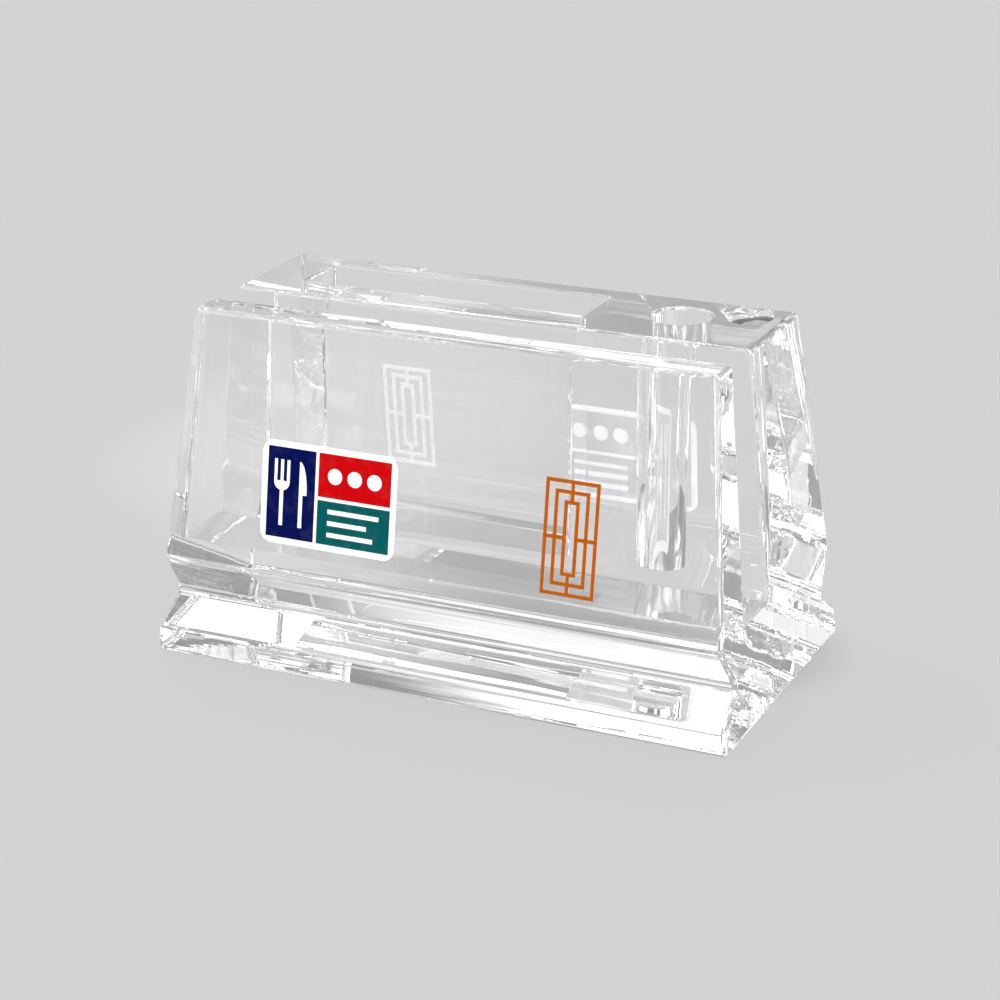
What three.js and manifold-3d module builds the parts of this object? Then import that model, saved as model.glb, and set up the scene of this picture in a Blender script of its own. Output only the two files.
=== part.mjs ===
// Clear acrylic menu stand: a moulded base block, with a front plate and a rear block cemented on it.
// The gap between plate and block holds the menu. The block has a card pocket and a pen well.
// Millimetres, +Z up, X along the stand, -Y to the front. The origin is the centre of the footprint.
import * as THREE from 'three';
import { mergeVertices } from 'three/addons/utils/BufferGeometryUtils.js';
import Module from 'manifold-3d';

// Overall sizes
const BASE_LENGTH = 150;       // along X, at the table
const TOP_LENGTH = 133.4;      // along X, at the top of the plate and block
const TOTAL_HEIGHT = 85.8;
const TOP_DEPTH = 53;          // front of the plate to back of the block, at the top
const EDGE = 0.8;              // polished chamfer on every outer edge

// Base block, read from the table up
const BASE_HEIGHT = 25.3;      // to the floor of the slot, the pocket and the well
const PLINTH_DEPTH = 77.6;
const PLINTH_HEIGHT = 6.9;
const FOOT_EDGE = 0.7;         // chamfer round the underside
const WAIST_DEPTH = 60.6;
const SHOULDER_RISE = 5.7;     // height of the slope from the plinth in to the waist
const WAIST_HEIGHT = 1.9;
const SHELF_DEPTH = 73.4;      // where the plate and the block stand
const SHELF_RIM = 2.3;         // height of the upright rim under them
const RIM_SETBACK = 0.5;       // how far the foot of that rim is set in
const JOINT_SURPLUS = 3;       // swept past the cemented joint, then cut off flat

// Slot for the menu, open at the top and both ends
const SLOT_TOP_WIDTH = 10.8;
const SLOT_FLOOR_WIDTH = 15.4;
const BLOCK_FRONT = -6.4;      // Y of the block's upright front face

// Wells in the rear block
const WELL_Y = 12.4;           // Y of the centre line of both wells
const WELL_LIP = 0.6;          // chamfer at the mouth of each well
const POCKET_LENGTH = 75;
const POCKET_WIDTH = 15.6;
const POCKET_X = -16.4;
const POCKET_CORNER = 0.8;
const PEN_MOUTH_DIAMETER = 13.9;
const PEN_FOOT_DIAMETER = 12.1; // the pen well is drafted, so it narrows downwards
const PEN_X = 42.6;

// Printed labels on the front and the back
const PRINT_THICKNESS = 0.3;
const PRINT_GAP = 0.3;         // clearance to the face behind
const PRINT_Z = 44.9;          // height of the centre of every print
const BADGE_WIDTH = 36;
const BADGE_HEIGHT = 25;
const BADGE_CORNER = 3;
const BADGE_X = -28.2;         // on the front; the back has it at the opposite X
const FRET_WIDTH = 13.4;
const FRET_HEIGHT = 27.2;
const FRET_BAR = 0.9;
const FRET_PITCH = 2.4;        // from one nested frame to the next
const FRET_FRAMES = 3;
const FRET_X = 34.2;

const END_LEAN = (BASE_LENGTH - TOP_LENGTH) / 2 / TOTAL_HEIGHT;
const FACE_LEAN = (SHELF_DEPTH - TOP_DEPTH) / 2 / (TOTAL_HEIGHT - BASE_HEIGHT);

const wasm = await Module();
wasm.setup();

function toSolid(geometry) {
  const bare = geometry.clone();
  bare.deleteAttribute('normal');
  bare.deleteAttribute('uv');
  const merged = mergeVertices(bare, 1e-4);
  const vertProperties = new Float32Array(merged.attributes.position.array);
  const triVerts = new Uint32Array(merged.index.array);
  return new wasm.Manifold(new wasm.Mesh({ numProp: 3, vertProperties, triVerts }));
}

function toGeometry(solid) {
  const { vertProperties, triVerts, numProp } = solid.getMesh();
  const position = new Float32Array((vertProperties.length / numProp) * 3);
  for (let i = 0; i < position.length / 3; i += 1) {
    position.set(vertProperties.subarray(i * numProp, i * numProp + 3), i * 3);
  }
  const geometry = new THREE.BufferGeometry();
  geometry.setAttribute('position', new THREE.BufferAttribute(position, 3));
  geometry.setIndex(new THREE.BufferAttribute(new Uint32Array(triVerts), 1));
  geometry.computeVertexNormals();
  return geometry;
}

// Everything between two heights, to cut a swept block flat at the cemented joint.
function slab(bottom, top) {
  const geometry = new THREE.BoxGeometry(2 * BASE_LENGTH, 2 * PLINTH_DEPTH, top - bottom);
  geometry.translate(0, 0, (bottom + top) / 2);
  return toSolid(geometry);
}

// A closed outline in the Y-Z plane, swept along X to both ends. The ends are chamfered, and they lean
// in towards the top, because each X is drawn in by its share of the lean at that height.
function sweptBlock(outline) {
  const shape = new THREE.Shape(outline.map(([y, z]) => new THREE.Vector2(y, z)));
  const geometry = new THREE.ExtrudeGeometry(shape, {
    depth: BASE_LENGTH - 2 * EDGE,
    bevelEnabled: true,
    bevelThickness: EDGE,
    bevelSize: EDGE,
    bevelOffset: -EDGE,
    bevelSegments: 1,
  });
  geometry.translate(0, 0, EDGE - BASE_LENGTH / 2);
  const position = geometry.attributes.position;
  for (let i = 0; i < position.count; i += 1) {
    const y = position.getX(i);
    const z = position.getY(i);
    const share = position.getZ(i) / (BASE_LENGTH / 2);
    position.setXYZ(i, share * (BASE_LENGTH / 2 - END_LEAN * z), y, z);
  }
  return toSolid(geometry);
}

// The moulded section is the same at the front and the back.
function baseOutline() {
  const waistTop = PLINTH_HEIGHT + SHOULDER_RISE + WAIST_HEIGHT;
  const front = [
    [-PLINTH_DEPTH / 2 + FOOT_EDGE, 0],
    [-PLINTH_DEPTH / 2, FOOT_EDGE],
    [-PLINTH_DEPTH / 2, PLINTH_HEIGHT],
    [-WAIST_DEPTH / 2, PLINTH_HEIGHT + SHOULDER_RISE],
    [-WAIST_DEPTH / 2, waistTop],
    [-SHELF_DEPTH / 2 + RIM_SETBACK, BASE_HEIGHT - SHELF_RIM],
    [-SHELF_DEPTH / 2 - RIM_SETBACK * JOINT_SURPLUS / SHELF_RIM, BASE_HEIGHT + JOINT_SURPLUS],
  ];
  const back = front.map(([y, z]) => [-y, z]).reverse();
  return [...front, ...back];
}

// Y of the outer face of the plate at a height; the block's back face mirrors it.
function outerFace(z) {
  return -SHELF_DEPTH / 2 + FACE_LEAN * (z - BASE_HEIGHT);
}

// The plate thickens downwards, so its inner face leans too, by less than its outer face.
function innerFace(z) {
  const share = (z - BASE_HEIGHT) / (TOTAL_HEIGHT - BASE_HEIGHT);
  return BLOCK_FRONT - SLOT_FLOOR_WIDTH + share * (SLOT_FLOOR_WIDTH - SLOT_TOP_WIDTH);
}

function plateOutline() {
  const foot = BASE_HEIGHT - JOINT_SURPLUS;
  return [
    [outerFace(foot), foot],
    [innerFace(foot), foot],
    [innerFace(TOTAL_HEIGHT - EDGE), TOTAL_HEIGHT - EDGE],
    [innerFace(TOTAL_HEIGHT) - EDGE, TOTAL_HEIGHT],
    [outerFace(TOTAL_HEIGHT) + EDGE, TOTAL_HEIGHT],
    [outerFace(TOTAL_HEIGHT - EDGE), TOTAL_HEIGHT - EDGE],
  ];
}

function blockOutline() {
  const foot = BASE_HEIGHT - JOINT_SURPLUS;
  return [
    [BLOCK_FRONT, foot],
    [-outerFace(foot), foot],
    [-outerFace(TOTAL_HEIGHT - EDGE), TOTAL_HEIGHT - EDGE],
    [-outerFace(TOTAL_HEIGHT) - EDGE, TOTAL_HEIGHT],
    [BLOCK_FRONT + EDGE, TOTAL_HEIGHT],
    [BLOCK_FRONT, TOTAL_HEIGHT - EDGE],
  ];
}

// Both wells run from the top right down to the base, which is their floor. The pocket's cutter flares at
// the top into the chamfered mouth, and the same flare at its foot lies below the block.
function wellCutter(shape) {
  const flare = 2 * WELL_LIP;
  const foot = BASE_HEIGHT - JOINT_SURPLUS;
  const geometry = new THREE.ExtrudeGeometry(shape, {
    depth: TOTAL_HEIGHT - WELL_LIP - foot,
    curveSegments: 24,
    bevelEnabled: true,
    bevelThickness: flare,
    bevelSize: -flare,
    bevelOffset: flare,
    bevelSegments: 1,
  });
  geometry.translate(0, 0, foot);
  return toSolid(geometry);
}

function roundedRectangle(width, height, corner, x = 0, y = 0) {
  const shape = new THREE.Shape();
  const quarter = Math.PI / 2;
  const right = x + width / 2 - corner;
  const left = x - width / 2 + corner;
  const top = y + height / 2 - corner;
  const bottom = y - height / 2 + corner;
  shape.absarc(right, bottom, corner, -quarter, 0, false);
  shape.absarc(right, top, corner, 0, quarter, false);
  shape.absarc(left, top, corner, quarter, 2 * quarter, false);
  shape.absarc(left, bottom, corner, 2 * quarter, 3 * quarter, false);
  return shape;
}

function baseBlock() {
  return sweptBlock(baseOutline()).intersect(slab(-JOINT_SURPLUS, BASE_HEIGHT));
}

function frontPlate() {
  return sweptBlock(plateOutline()).intersect(slab(BASE_HEIGHT, 2 * TOTAL_HEIGHT));
}

// Radius of the pen well at a height.
function penRadius(z) {
  const share = (z - BASE_HEIGHT) / (TOTAL_HEIGHT - BASE_HEIGHT);
  return (PEN_FOOT_DIAMETER + share * (PEN_MOUTH_DIAMETER - PEN_FOOT_DIAMETER)) / 2;
}

// A cone standing on the pen well's axis between two heights.
function penCone(bottom, top, bottomRadius, topRadius) {
  const geometry = new THREE.CylinderGeometry(topRadius, bottomRadius, top - bottom, 48);
  geometry.rotateX(Math.PI / 2);
  geometry.translate(PEN_X, WELL_Y, (bottom + top) / 2);
  return toSolid(geometry);
}

function penCutter() {
  const foot = BASE_HEIGHT - JOINT_SURPLUS;
  const top = TOTAL_HEIGHT + WELL_LIP;
  const lip = TOTAL_HEIGHT - WELL_LIP;
  const bore = penCone(foot, top, penRadius(foot), penRadius(top));
  const mouth = penCone(lip, top, penRadius(lip), penRadius(lip) + 2 * WELL_LIP);
  return bore.add(mouth);
}

function rearBlock() {
  const pocket = roundedRectangle(POCKET_LENGTH, POCKET_WIDTH, POCKET_CORNER, POCKET_X, WELL_Y);
  const block = sweptBlock(blockOutline()).intersect(slab(BASE_HEIGHT, 2 * TOTAL_HEIGHT));
  return block.subtract(wellCutter(pocket)).subtract(penCutter());
}

function badgeGeometry() {
  return new THREE.ExtrudeGeometry(roundedRectangle(BADGE_WIDTH, BADGE_HEIGHT, BADGE_CORNER), {
    depth: PRINT_THICKNESS,
    curveSegments: 6,
    bevelEnabled: false,
  });
}

// Window-lattice ornament: upright frames nested one in another, tied together by a cross of bars
// that stops at the innermost frame, whose middle stays open.
function fretSolid() {
  const bars = [];
  const halfX = FRET_WIDTH / 2;
  const halfY = FRET_HEIGHT / 2;
  for (let frame = 0; frame < FRET_FRAMES; frame += 1) {
    const x = halfX - frame * FRET_PITCH;
    const y = halfY - frame * FRET_PITCH;
    bars.push(barBetween(-x, x, y - FRET_BAR, y), barBetween(-x, x, -y, FRET_BAR - y));
    bars.push(barBetween(x - FRET_BAR, x, -y, y), barBetween(-x, FRET_BAR - x, -y, y));
  }
  const reach = (FRET_FRAMES - 1) * FRET_PITCH + FRET_BAR / 2;
  const tie = FRET_BAR / 2;
  const inset = FRET_BAR / 2;
  bars.push(barBetween(-tie, tie, halfY - reach, halfY - inset));
  bars.push(barBetween(-tie, tie, inset - halfY, reach - halfY));
  bars.push(barBetween(halfX - reach, halfX - inset, -tie, tie));
  bars.push(barBetween(inset - halfX, reach - halfX, -tie, tie));
  return wasm.Manifold.union(bars);
}

function barBetween(left, right, bottom, top) {
  const geometry = new THREE.BoxGeometry(right - left, top - bottom, PRINT_THICKNESS);
  geometry.translate((left + right) / 2, (bottom + top) / 2, PRINT_THICKNESS / 2);
  return toSolid(geometry);
}

function clearAcrylic() {
  return new THREE.MeshStandardMaterial({ color: 0xe4eaec, roughness: 0.04, metalness: 0 });
}

function printedInk(color) {
  return new THREE.MeshStandardMaterial({ color, roughness: 0.4, metalness: 0 });
}

function piece(name, geometry, material) {
  const mesh = new THREE.Mesh(geometry, material);
  mesh.name = name;
  return mesh;
}

// Both prints of one side, on a group that leans with the plate's outer face.
function printedSide(side) {
  const prints = new THREE.Group();
  prints.position.set(0, outerFace(PRINT_Z), PRINT_Z);
  prints.rotation.x = Math.PI / 2 - Math.atan(FACE_LEAN);
  const badge = piece(`${side}_badge`, badgeGeometry(), printedInk(0x14285c));
  badge.position.set(BADGE_X, 0, PRINT_GAP);
  const fret = piece(`${side}_fret`, toGeometry(fretSolid()), printedInk(0xcc5c0c));
  fret.position.set(FRET_X, 0, PRINT_GAP);
  prints.add(badge, fret);
  const turned = new THREE.Group();
  turned.rotation.z = side === 'rear' ? Math.PI : 0;
  turned.add(prints);
  return turned;
}

const stand = new THREE.Group();
stand.add(
  piece('base_block', toGeometry(baseBlock()), clearAcrylic()),
  piece('front_plate', toGeometry(frontPlate()), clearAcrylic()),
  piece('rear_block', toGeometry(rearBlock()), clearAcrylic()),
  printedSide('front'),
  printedSide('rear'),
);

export default stand;
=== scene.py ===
# %% [markdown]
# # A clear acrylic menu stand
#
# The real stand is three pieces of clear, polished acrylic: a moulded base, a leaning front plate and a
# thick rear block with a card pocket and a pen well. Clear cement joins them so well that light passes
# the joint as if it weren't there. Four small prints sit on the outside.
#
# What the eye reads as acrylic is almost only refraction, total reflection and bright polished edges. A
# pale see-through shell would be quicker to make, but then nothing behind it would bend, double or light
# up. So each piece is an exact closed solid with its chamfers, and the room around it matters as much as
# the material.

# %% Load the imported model
import math

import bmesh
import bpy
import numpy as np
from mathutils import Matrix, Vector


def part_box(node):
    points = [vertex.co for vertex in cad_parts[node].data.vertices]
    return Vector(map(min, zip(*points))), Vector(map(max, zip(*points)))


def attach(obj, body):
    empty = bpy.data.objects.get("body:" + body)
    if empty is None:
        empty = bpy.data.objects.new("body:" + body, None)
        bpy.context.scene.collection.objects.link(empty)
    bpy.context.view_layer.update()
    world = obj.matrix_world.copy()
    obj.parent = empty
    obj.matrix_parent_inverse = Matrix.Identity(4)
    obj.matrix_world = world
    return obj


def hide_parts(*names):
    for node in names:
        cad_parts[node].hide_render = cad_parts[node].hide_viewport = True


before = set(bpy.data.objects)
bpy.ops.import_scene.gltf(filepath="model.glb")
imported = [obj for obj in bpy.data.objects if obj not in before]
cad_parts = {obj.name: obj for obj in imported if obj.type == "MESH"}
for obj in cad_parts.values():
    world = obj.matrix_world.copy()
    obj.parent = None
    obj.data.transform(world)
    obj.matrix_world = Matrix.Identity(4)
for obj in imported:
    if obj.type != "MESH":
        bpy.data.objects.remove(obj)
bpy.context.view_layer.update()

# %% [markdown]
# ## One frame for all sizes
#
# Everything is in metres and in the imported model's own frame: X along the stand, -Y to the front, Z up from
# the table. The sizes could all be typed in again, but then the looks could drift away from the model. So
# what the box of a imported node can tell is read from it, and only sizes inside a box are given, each in the
# step that first needs it.

# %% Overall sizes
MM = 0.001

base_box = np.array(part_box("base_block"))
plate_box = np.array(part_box("front_plate"))
block_box = np.array(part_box("rear_block"))

BASE_LENGTH = 150 * MM
TOP_LENGTH = 133.4 * MM
TOP = plate_box[1, 2]
JOINT = base_box[1, 2]              # height of the cemented joint
END_LEAN = (BASE_LENGTH - TOP_LENGTH) / 2 / TOP
BLOCK_FRONT = block_box[0, 1]
SHELF_HALF = block_box[1, 1]


def in_mm(length):
    """A length, or an array of them, in millimetres for printing."""
    return np.round(np.asarray(length) / MM, 2)


print("joint at", in_mm(JOINT), "mm, top at", in_mm(TOP), "mm")

# %% [markdown]
# ## Rounded outlines
#
# A polisher takes the sharpness off every edge, and each softened edge then shows as one thin bright line. A
# Bevel modifier could round the finished mesh, but where three edges meet it leaves small uneven faces, and
# clear acrylic shows every one of them. So the roundings are part of the outlines from the start.

# %% Rounding the corners of an outline
ROUNDING = 0.5 * MM                 # from a sharp edge to where its rounding starts
ROUNDING_STEPS = 5
LONGEST_REACH = 0.45                # the largest share of a side that one rounding takes


def rounded(corners, reach=ROUNDING, steps=ROUNDING_STEPS):
    """The open outline with each inner corner C replaced by a parabola from A to B, the points on its two
    sides at the reach from C: P(t) = (1 - t)^2 A + 2 t (1 - t) C + t^2 B. There is one reach for all corners
    or one for each."""
    lengths = np.linalg.norm(np.diff(corners, axis=0), axis=1)
    reach = np.minimum(reach, LONGEST_REACH * np.minimum(lengths[:-1], lengths[1:]))[:, None]
    to_last = corners[:-2] - corners[1:-1]
    to_next = corners[2:] - corners[1:-1]
    start = corners[1:-1] + reach * to_last / lengths[:-1, None]
    end = corners[1:-1] + reach * to_next / lengths[1:, None]
    t = np.linspace(0, 1, steps + 1)[None, :, None]
    arc = (1 - t) ** 2 * start[:, None] + 2 * t * (1 - t) * corners[1:-1, None] + t**2 * end[:, None]
    return np.vstack([corners[:1], arc.reshape(-1, corners.shape[1]), corners[-1:]])


print("a rounded corner has", ROUNDING_STEPS + 1, "points over", in_mm(ROUNDING), "mm each way")

# %% [markdown]
# ## The two wells' places
#
# The card pocket and the pen well stand side by side in the rear block. A flat face with two holes in it has
# no simple faces of its own. So the block's top is split between the wells, and each half has one hole.

# %% Places of the wells
WELL_Y = 12.4 * MM
POCKET_X = -16.4 * MM
POCKET_HALF = np.array([37.5, 7.8]) * MM
POCKET_CORNER = 0.8 * MM
PEN_X = 42.6 * MM
PEN_RADIUS = 6.95 * MM              # at the mouth
PEN_DRAFT = 0.9 * MM                # how much smaller the radius is at the foot
PANEL_SPLIT = (POCKET_X + POCKET_HALF[0] + PEN_X - PEN_RADIUS) / 2
print("the top is split at X =", in_mm(PANEL_SPLIT), "mm")

# %% [markdown]
# ## How a section is drawn in at the ends
#
# Each of the three pieces is one section carried along X. Their ends lean in towards the top and are
# chamfered. A long bar cut by slanted planes would give the ends, but not the roundings along them. So each
# piece is a grid: one direction runs round the section, the other along the length, and near the ends the
# section shrinks by an inset while the length runs out. The sharp outline is inset first and rounded
# afterwards, because a small arc that is drawn in by more than its radius would turn inside out.

# %% Stations along the length
CHAMFER = 0.8 * MM
END_ROUNDING = 0.5 * MM
FLAT_STRETCH = 4 * CHAMFER          # how far the path over an end chamfer runs on along the flat faces


def end_stations():
    """From the full section to the end: how far each station is from the end plane, and its inset. The
    path runs level, over the chamfer and down the end, with both chamfer edges rounded."""
    path = np.array([[FLAT_STRETCH, 0], [CHAMFER, 0], [0, CHAMFER], [0, FLAT_STRETCH]])
    return rounded(path, END_ROUNDING)[1:-1]


# For each station: which end it belongs to, how far it is from that end's plane, its inset, and for the one
# between the ends, its X.
end_path = end_stations()
side = np.concatenate([-np.ones(len(end_path)), [0], np.ones(len(end_path))])
back = np.concatenate([end_path[::-1, 0], [0], end_path[:, 0]])
inset = np.concatenate([end_path[::-1, 1], [0], end_path[:, 1]])
middle = np.where(side == 0, PANEL_SPLIT, 0)
END_INSET = inset[-1]
all_stations = np.arange(len(side))
right_end = all_stations[len(end_path) + 1:]
left_end = all_stations[:len(end_path)]
print("stations along the length:", len(side))

# %% Where a station is, and how an outline is inset
def station_x(z):
    """X of every station at heights z: the half length there, less the distance from the end plane. The
    heights are the same for all stations, or one row for each."""
    half = BASE_LENGTH / 2 - END_LEAN * np.asarray(z)
    return middle[:, None] + side[:, None] * (half - back[:, None])


def inset_directions(outline):
    """How each corner moves per unit of inset. Between two sides with inward normals m and n that is
    (m + n) / (1 + m.n). The two ends lie on the joint and only move level, towards the acrylic."""
    along = np.diff(outline, axis=0)
    inward = np.stack([-along[:, 1], along[:, 0]], axis=1)
    inward = inward / np.linalg.norm(inward, axis=1, keepdims=True)
    m, n = inward[:-1], inward[1:]
    mitre = (m + n) / (1 + np.sum(m * n, axis=1, keepdims=True))
    first = [np.sign(inward[0, 0]), 0.0]
    last = [np.sign(inward[-1, 0]), 0.0]
    return np.vstack([first, mitre, last])


print("half length at foot and top:", in_mm(station_x([0.0, TOP])[-1]), "mm")

# %% [markdown]
# ## Collecting surfaces into a solid
#
# Light bends rightly only where a mesh is closed and its faces point outwards. A Boolean modifier could cut
# the wells out of a block, but its cuts leave long thin faces and doubled points. Here a solid is a handful
# of surfaces that share their edges: the swept skin, the two end faces, the flat panels with the wells'
# mouths, and the wells' walls. Each surface is worked out on its own, and then the points that coincide are
# welded, which closes the solid. The open edges are counted, and there should be none.
#
# Material slot 0 is polished acrylic. Slot 1 is the cemented joint, which lets light straight through, so
# that a ray crosses from piece to piece as it does in the real stand.

# %% From a mesh to a piece
WELD_DISTANCE = 1e-6


def weld(mesh):
    """Makes one point of all that coincide."""
    work = bmesh.new()
    work.from_mesh(mesh)
    bmesh.ops.remove_doubles(work, verts=work.verts, dist=WELD_DISTANCE)
    work.to_mesh(mesh)
    work.free()


def count_open_edges(mesh):
    """How many edges don't have exactly two faces."""
    work = bmesh.new()
    work.from_mesh(mesh)
    number = sum(not edge.is_manifold for edge in work.edges)
    work.free()
    return number


def make_piece(name, mesh, materials):
    """An object for the mesh, with its materials in their slots. It rides on the stand's one body."""
    for material in materials:
        mesh.materials.append(material)
    piece = bpy.data.objects.new(name, mesh)
    bpy.context.scene.collection.objects.link(piece)
    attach(piece, "root")
    open_edges = count_open_edges(mesh)
    print(name, len(mesh.vertices), "points,", len(mesh.polygons), "faces,", open_edges, "open edges")
    return piece


# %% A solid from its surfaces
POLISHED, CEMENTED = 0, 1           # material slots


class Solid:
    """Points, faces and material slots of one piece, surface by surface."""

    def __init__(self):
        self.points = []
        self.faces = []
        self.slots = []
        self.smooth = []
        self.count = 0

    def add(self, points, *faces, slot=POLISHED, smooth=False):
        """Adds a surface. Each array of faces has one face to a row, as numbers of the surface's points."""
        points = np.asarray(points, float).reshape(-1, 3)
        for rows in faces:
            self.faces += (rows + self.count).tolist()
            self.slots += [slot] * len(rows)
            self.smooth += [smooth] * len(rows)
        self.points.append(points)
        self.count += len(points)

    def polygon(self, points, slot=POLISHED):
        """Adds one flat face."""
        self.add(points, np.arange(len(points))[None], slot=slot)

    def piece(self, name, *materials):
        """Welds the surfaces and makes them one piece of the stand."""
        mesh = bpy.data.meshes.new(name)
        mesh.from_pydata(np.vstack(self.points), [], self.faces)
        mesh.polygons.foreach_set("material_index", self.slots)
        mesh.polygons.foreach_set("use_smooth", self.smooth)
        weld(mesh)
        return make_piece(name, mesh, materials)


# %% Faces of a grid
def grid_faces(rows, columns, closed=False):
    """Quads of a grid of points whose rows follow one another. A closed grid joins its last column to its
    first one."""
    r, c = np.meshgrid(np.arange(rows - 1), np.arange(columns - (not closed)), indexing="ij")
    ahead = (c + 1) % columns
    here, beyond = r * columns, (r + 1) * columns
    return np.stack([here + c, here + ahead, beyond + ahead, beyond + c], -1).reshape(-1, 4)


print("a closed grid of 2 rows and 3 columns has", len(grid_faces(2, 3, closed=True)), "faces")

# %% [markdown]
# ## The skin, the ends and the joint faces
#
# A maker saws such pieces to length, then cuts and polishes their ends. An extrusion with end caps is the
# plain way to draw that. Here the skin is the rounded section at every station, so that the end chamfers
# come with it. The open side of the section lies on the joint plane. At each end a flat face closes it, and
# on the base that face also gets the corners of the two pieces that stand on it, so that no edge is left
# without its partner.

# %% Swept skin and end faces
LEVEL_WITHIN = 1e-9


def swept(solid, outline, reach=ROUNDING, drop_top=False, end_extras=()):
    """Adds the skin of an outline in Y and Z. Station s holds the rounded outline inset by inset[s], at
    X = station_x(z). drop_top leaves out the flat top between the end chamfers, for a panel with wells."""
    directions = inset_directions(outline)
    sections = np.stack([rounded(outline + amount * directions, reach) for amount in inset])
    y, z = sections[..., 0], sections[..., 1]
    points = np.stack([station_x(z), y, z], -1)
    faces = grid_faces(*y.shape)
    if drop_top:
        level = np.isclose(points.reshape(-1, 3)[faces][..., 2], TOP, atol=LEVEL_WITHIN).all(axis=1)
        faces = faces[~level]
    solid.add(points, faces)
    extras = np.array([[station_x([JOINT])[-1, 0], y_at, JOINT] for y_at in end_extras]).reshape(-1, 3)
    solid.polygon(np.vstack([points[-1], extras]))
    extras[:, 0] *= -1
    solid.polygon(np.vstack([points[0], extras])[::-1])


print("at its end a section is drawn in by", in_mm(END_INSET), "mm")

# %% Flat strips and rectangles
def strip(front, rear, front_sign, rear_sign, z, stations):
    """Corners of a flat strip at height z, from Y = front + sign * inset along the stations and back
    along Y = rear + sign * inset."""
    x = station_x([z])[stations, 0]
    depth = inset[stations]
    ahead = np.stack([x, front + front_sign * depth, np.full_like(x, z)], 1)
    home = np.stack([x, rear + rear_sign * depth, np.full_like(x, z)], 1)
    return np.vstack([ahead, home[::-1]])


def rectangle(x0, x1, y0, y1):
    """Four corners, counter-clockwise from the lowest X and Y."""
    return np.array([[x0, y0], [x1, y0], [x1, y1], [x0, y1]])


# %% A rectangle with a hole
CORNER_OF_QUARTER = np.array([[0, 3], [1, 2]])   # by whether X, then Y, is past the hole's centre


def ring_panel(solid, loop, corners, z, slot=POLISHED, facing_up=True):
    """A flat rectangle with a hole. Each side of the hole's loop makes a triangle with the rectangle's
    corner in its own quarter, or a quad with two corners where it passes from one quarter to the next."""
    centre = (loop.max(axis=0) + loop.min(axis=0)) / 2
    past = (loop > centre).astype(int)
    here = np.arange(len(loop))
    ahead = np.roll(here, -1)
    corner = len(loop) + CORNER_OF_QUARTER[past[:, 0], past[:, 1]]
    corner_ahead = corner[ahead]
    passing = corner != corner_ahead
    triangles = np.stack([ahead, here, corner], 1)[~passing]
    quads = np.stack([ahead, here, corner, corner_ahead], 1)[passing]
    if not facing_up:
        triangles, quads = triangles[:, ::-1], quads[:, ::-1]
    flat = np.vstack([loop, corners])
    solid.add(np.column_stack([flat, np.full(len(flat), z)]), triangles, quads, slot=slot)


# %% [markdown]
# ## The two wells
#
# The pocket has upright walls and the pen well narrows towards its foot, as a drafted mould makes it. Both
# run right through the rear block, so that the base becomes their floor. Cutting a cylinder out with a
# Boolean would do for a plain hole, but a mouth with a small rounded chamfer is easier to get as a loop
# carried down a path. The path says how far the loop is widened at each height.

# %% Loops of the wells
PEN_STEPS = 128
POCKET_CORNER_STEPS = 5
CORNER_SIGNS = np.array([[1, 1], [-1, 1], [-1, -1], [1, -1]])


def rounded_rectangle(half, radius, grown, steps):
    """Counter-clockwise, four quarter circles about the corners' centres. The corner radius sets the
    centres, and the circles' own radius is that plus what is grown."""
    angles = np.linspace(0, np.pi / 2, steps + 1)[None, :] + np.arange(4)[:, None] * np.pi / 2
    centres = CORNER_SIGNS * (half - radius)
    arcs = centres[:, None] + (radius + grown) * np.stack([np.cos(angles), np.sin(angles)], -1)
    return arcs.reshape(-1, 2)


def pocket_loop(widened=0.0):
    """The pocket's rounded rectangle, widened all round."""
    outline = rounded_rectangle(POCKET_HALF, POCKET_CORNER, widened, POCKET_CORNER_STEPS)
    return np.array([POCKET_X, WELL_Y]) + outline


def pen_loop(widened=0.0):
    """A circle of the pen well's radius plus the widening."""
    angle = (np.arange(PEN_STEPS) + 0.5) * 2 * np.pi / PEN_STEPS
    radius = PEN_RADIUS + widened
    return np.array([PEN_X, WELL_Y]) + radius * np.stack([np.cos(angle), np.sin(angle)], -1)


print("pocket", in_mm(np.ptp(pocket_loop(), axis=0)), "mm, pen well", in_mm(2 * PEN_RADIUS), "mm")

# %% Walls of the wells
WELL_LIP = 0.6 * MM
MOUTH_ROUNDING = 0.3 * MM
MOUTH_STRETCH = 4 * WELL_LIP        # how far the path over a mouth starts out on the flat top
WALL_LEVELS = np.array([[0.02], [0.5], [1.0]])   # shares of the wall, to keep its smooth shading straight


def mouth_path(draft=0.0):
    """Widening and height from the mouth's outer edge, over its chamfer and down to the joint. The draft
    narrows the well on its way down."""
    path = np.array([[MOUTH_STRETCH, TOP], [WELL_LIP, TOP], [0, TOP - WELL_LIP], [-draft, JOINT]])
    path = rounded(path, MOUTH_ROUNDING)[1:]
    wall = path[-2] + WALL_LEVELS * (path[-1] - path[-2])
    return np.vstack([path[:-1], wall])


def well_wall(solid, loop, draft, smooth):
    """The loop at every height of the path, one ring to a row."""
    path = mouth_path(draft)
    rings = np.stack([np.column_stack([loop(widened), np.full(len(loop()), z)]) for widened, z in path])
    solid.add(rings, grid_faces(len(path), len(loop()), closed=True), smooth=smooth)


print("a well's wall has", len(mouth_path()), "rings")

# %% [markdown]
# ## The sections of the three acrylic pieces
#
# The base is a moulding: plinth, sloped shoulder, waist, overhang and a low rim. The plate leans and gets
# thinner towards the top. The block's front face is upright and its back leans like the plate, and the
# outer faces meet the rim of the base in one line. Each section could be drawn as a curve and traced. As a
# short list of corners with named sizes it stays exact, and its roundings come later.

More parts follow.
